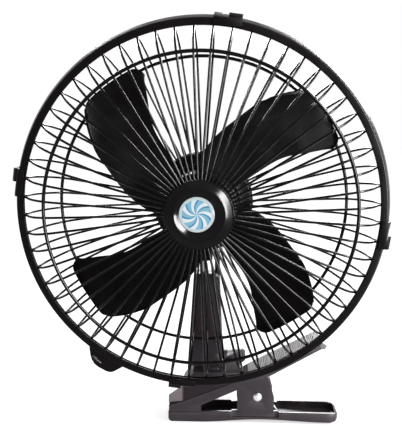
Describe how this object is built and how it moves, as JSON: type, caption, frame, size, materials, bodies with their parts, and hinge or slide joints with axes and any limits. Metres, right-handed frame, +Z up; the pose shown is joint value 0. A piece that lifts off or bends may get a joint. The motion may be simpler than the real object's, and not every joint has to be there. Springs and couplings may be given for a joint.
{
  "type": "car fan",
  "caption": "Clip-on oscillating car fan: caged impeller on a motor head, tilting neck with worm-driven swing linkage, and a sprung jaw clamp.",
  "frame": {"origin": "middle of the closed jaws, on the line where they meet", "axes": "+Z up, the fan blows towards -Y, the jaws open towards -X and the handle points to +X"},
  "size_m": [0.2563, 0.1238, 0.3031],
  "materials": {
    "black_plastic": "moulded black with a soft gloss",
    "satin_plastic": "satin moulded black",
    "blade_plastic": "satin black, fine moulding haze",
    "black_wire": "glossy black coated wire",
    "black_rubber": "matt rubber",
    "bright_steel": "bright plated steel",
    "dull_steel": "plain zinc-plated steel",
    "bronze": "sintered bronze",
    "nylon": "natural nylon",
    "badge_face": null
  },
  "bodies": {
    "clamp_upper": {"upper_arm": "black_plastic", "base_block": "black_plastic", "block_screw_1": "bright_steel", "block_screw_2": "bright_steel", "rivet": "bright_steel", "clamp_spring": "bright_steel", "upper_pad": "black_rubber"},
    "clamp_lower": {"lower_arm": "black_plastic", "lower_pad": "black_rubber"},
    "neck": {"neck_front": "satin_plastic", "neck_rear": "satin_plastic", "neck_screw_upper": "bright_steel", "neck_screw_lower": "bright_steel", "tilt_nut": "dull_steel", "pivot_shaft": "bright_steel"},
    "wing_screw": {"wing_screw": "dull_steel"},
    "head": {"rim_band": "black_plastic", "front_guard": "black_wire", "rear_guard": "black_wire", "rim_loop": "black_plastic", "front_cap": "satin_plastic", "badge": "badge_face", "cap_clamp": "satin_plastic", "cap_screw": "bright_steel", "motor_can": "dull_steel", "front_bearing": "bronze", "rear_bearing": "bronze", "motor_front": "satin_plastic", "motor_rear": "satin_plastic", "guard_nut": "black_plastic", "switch_frame": "black_plastic", "cord_grommet": "black_rubber", "housing_screw_1": "bright_steel", "housing_screw_2": "bright_steel"},
    "impeller": {"impeller": "blade_plastic", "hub_nut": "black_plastic", "motor_shaft": "bright_steel", "worm": "bronze"},
    "worm_wheel": {"worm_wheel": "nylon"},
    "crank": {"spindle": "bright_steel", "crank": "dull_steel"},
    "link": {"link_arm": "dull_steel"},
    "oscillation_knob": {"oscillation_knob": "black_plastic"},
    "speed_switch": {"speed_switch": "satin_plastic"},
    "latch_top": {"latch_top": "black_plastic"},
    "latch_left": {"latch_left": "black_plastic"},
    "latch_bottom": {"latch_bottom": "black_plastic"},
    "latch_right": {"latch_right": "black_plastic"}
  },
  "joints": [
    {"name": "jaw_open", "type": "hinge", "parent": "clamp_upper", "child": "clamp_lower", "pos_m": [0.0574, 0, 0.0136], "axis": [0, -1, 0], "range_deg": [0, 24], "stiffness_Nm_per_rad": 0.05, "springref_deg": -5.73, "deforming": ["clamp_spring"]},
    {"name": "neck_tilt", "type": "hinge", "parent": "clamp_upper", "child": "neck", "pos_m": [0.0225, 0, 0.0435], "axis": [1, 0, 0], "range_deg": [-45, 45]},
    {"name": "wing_screw_turn", "type": "hinge", "parent": "neck", "child": "wing_screw", "pos_m": [0.036, 0, 0.0435], "axis": [1, 0, 0], "continuous": true},
    {"name": "head_swing", "type": "hinge", "parent": "neck", "child": "head", "pos_m": [0.015, 0, 0.1208], "axis": [0, 0, 1], "range_deg": [-30, 30]},
    {"name": "fan_spin", "type": "hinge", "parent": "head", "child": "impeller", "pos_m": [0.015, -0.052, 0.167], "axis": [0, 1, 0], "continuous": true},
    {"name": "worm_wheel_turn", "type": "hinge", "parent": "head", "child": "worm_wheel", "pos_m": [0.02611, 0.027, 0.167], "axis": [0, 0, 1], "continuous": true},
    {"name": "crank_turn", "type": "hinge", "parent": "head", "child": "crank", "pos_m": [0.02611, 0.027, 0.1361], "axis": [0, 0, 1], "range_deg": [-91, 91]},
    {"name": "link_turn", "type": "hinge", "parent": "neck", "child": "link", "pos_m": [0.0256, 0.0023, 0.1278], "axis": [0, 0, 1], "range_deg": [-34.5, 34.5]},
    {"name": "knob_lift", "type": "slide", "parent": "head", "child": "oscillation_knob", "axis": [0, 0, 1], "range_m": [0, 0.005]},
    {"name": "speed_rocker", "type": "hinge", "parent": "head", "child": "speed_switch", "pos_m": [0.015, 0.0395, 0.1835], "axis": [1, 0, 0], "range_deg": [-9, 9]},
    {"name": "latch_top_open", "type": "hinge", "parent": "head", "child": "latch_top", "pos_m": [0.0328, -0.0456, 0.29204], "axis": [-0.99, 0, 0.1409], "range_deg": [0, 60]},
    {"name": "latch_left_open", "type": "hinge", "parent": "head", "child": "latch_left", "pos_m": [-0.10991, -0.0456, 0.18567], "axis": [-0.1478, 0, -0.989], "range_deg": [0, 60]},
    {"name": "latch_bottom_open", "type": "hinge", "parent": "head", "child": "latch_bottom", "pos_m": [0.0018, -0.0456, 0.04139], "axis": [0.9945, 0, -0.1045], "range_deg": [0, 60]},
    {"name": "latch_right_open", "type": "hinge", "parent": "head", "child": "latch_right", "pos_m": [0.14025, -0.0456, 0.15073], "axis": [0.1288, 0, 0.9917], "range_deg": [0, 60]}
  ],
  "couplings": [
    {"joint": "worm_wheel_turn", "follows": "fan_spin", "ratio": -0.055556},
    {"joint": "crank_turn", "follows": "head_swing", "ratio": -3},
    {"joint": "link_turn", "follows": "head_swing", "ratio": 1.12}
  ]
}
